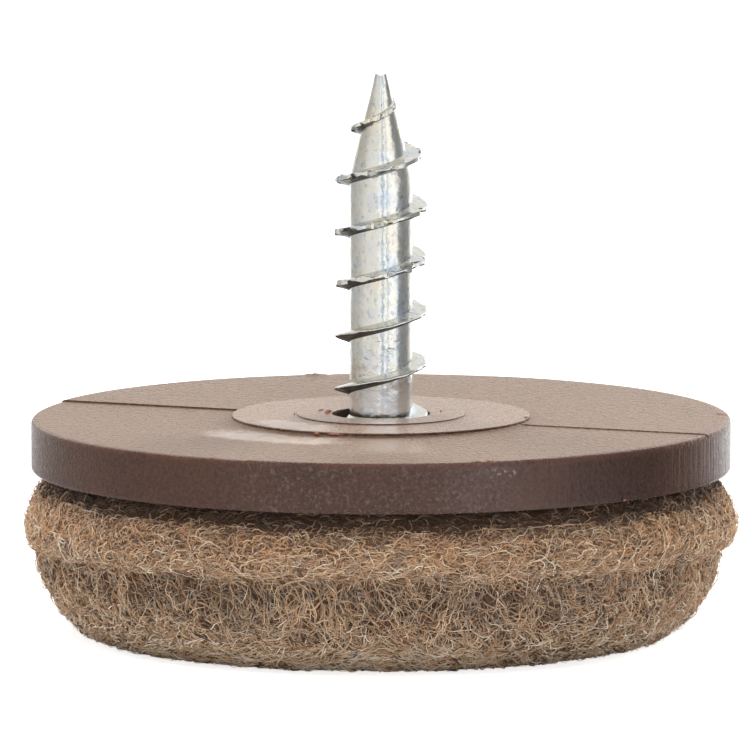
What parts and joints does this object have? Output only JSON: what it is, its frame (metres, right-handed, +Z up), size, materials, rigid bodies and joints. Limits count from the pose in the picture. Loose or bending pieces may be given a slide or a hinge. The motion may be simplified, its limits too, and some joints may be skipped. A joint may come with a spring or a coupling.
{
  "type": "screw-on felt glide",
  "caption": "Round felt furniture glide with a moulded plastic disc and an upright wood screw that fixes it under the end of a leg.",
  "frame": {"origin": "centre of the felt's flat underside, on the axis of the screw", "axes": "+Z up along the screw, from the felt to the tip; +X along the picture's right, with the parting line of the disc at -22.5 degrees from it"},
  "size_m": [0.0305, 0.0304, 0.024],
  "materials": {
    "zinc_steel": "satin",
    "brown_plastic": "satin",
    "brown_felt": "matte"
  },
  "bodies": {
    "root": {"screw": "zinc_steel", "disc": "brown_plastic", "felt_pad": "brown_felt"}
  },
  "joints": []
}
